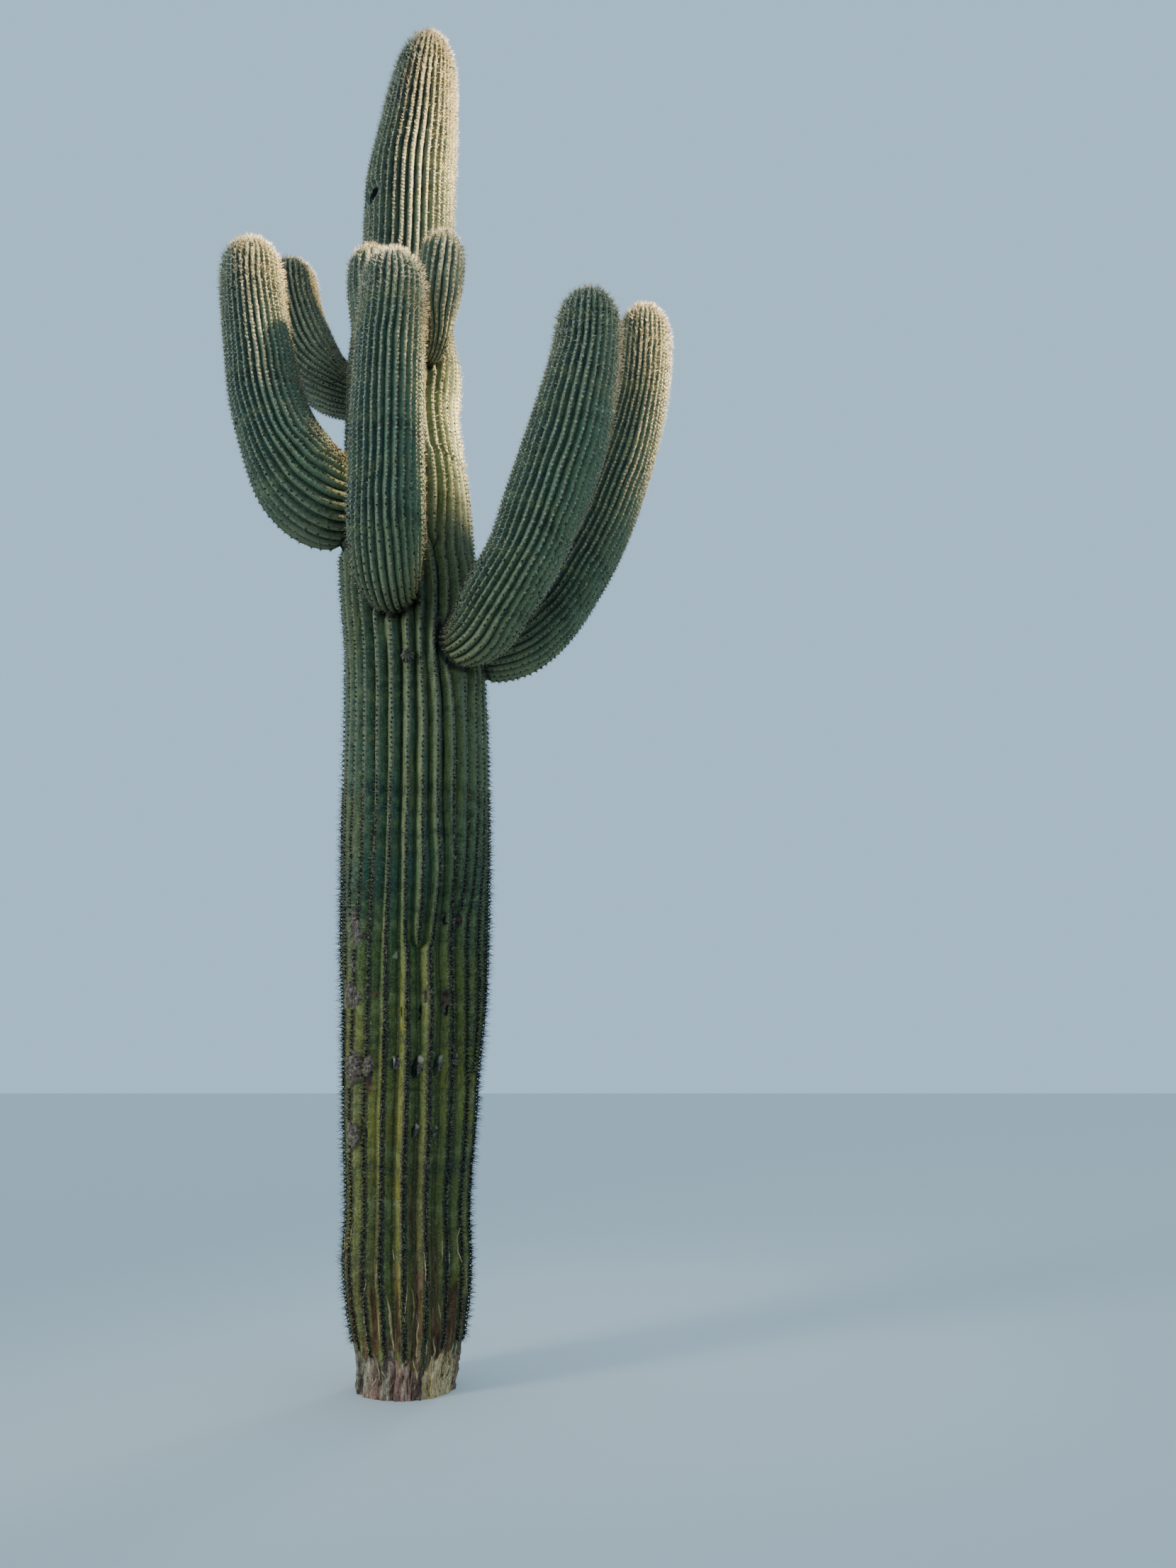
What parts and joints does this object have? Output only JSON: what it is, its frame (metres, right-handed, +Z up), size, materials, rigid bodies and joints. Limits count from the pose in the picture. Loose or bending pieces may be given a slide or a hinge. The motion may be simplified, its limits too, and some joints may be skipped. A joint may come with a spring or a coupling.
{
  "type": "saguaro cactus",
  "caption": "Tall ribbed columnar desert cactus with upturned arms round its trunk, a constricted corky foot and rows of spines on every rib.",
  "frame": {"origin": "centre of the trunk's flat cut at ground level", "axes": "+Z up along the trunk, -Y towards the side that the picture shows, +X to that side's right"},
  "size_m": [2.3832, 1.3432, 7.34],
  "materials": {
    "trunk_skin": "waxy ribbed green skin, olive low down, grey cork at the foot",
    "arm_skin": "waxy ribbed grey-green skin",
    "cork": "dry grey-brown cork of the foot and the scars",
    "spines": "dry horny spines and felt pads, cream at the tips and dark grey on the lower trunk"
  },
  "bodies": {
    "root": {"trunk": "trunk_skin", "arm_left_front_lower": "arm_skin", "arm_left_front_upper": "arm_skin", "arm_left_back_lower": "arm_skin", "arm_left_back_upper": "arm_skin", "arm_front": "arm_skin", "arm_front_small_left": "arm_skin", "arm_front_small_right": "arm_skin", "arm_right_front_lower": "arm_skin", "arm_right_front_upper": "arm_skin", "arm_right_back_lower": "arm_skin", "arm_right_back_upper": "arm_skin", "arm_bud": "arm_skin"}
  },
  "joints": []
}
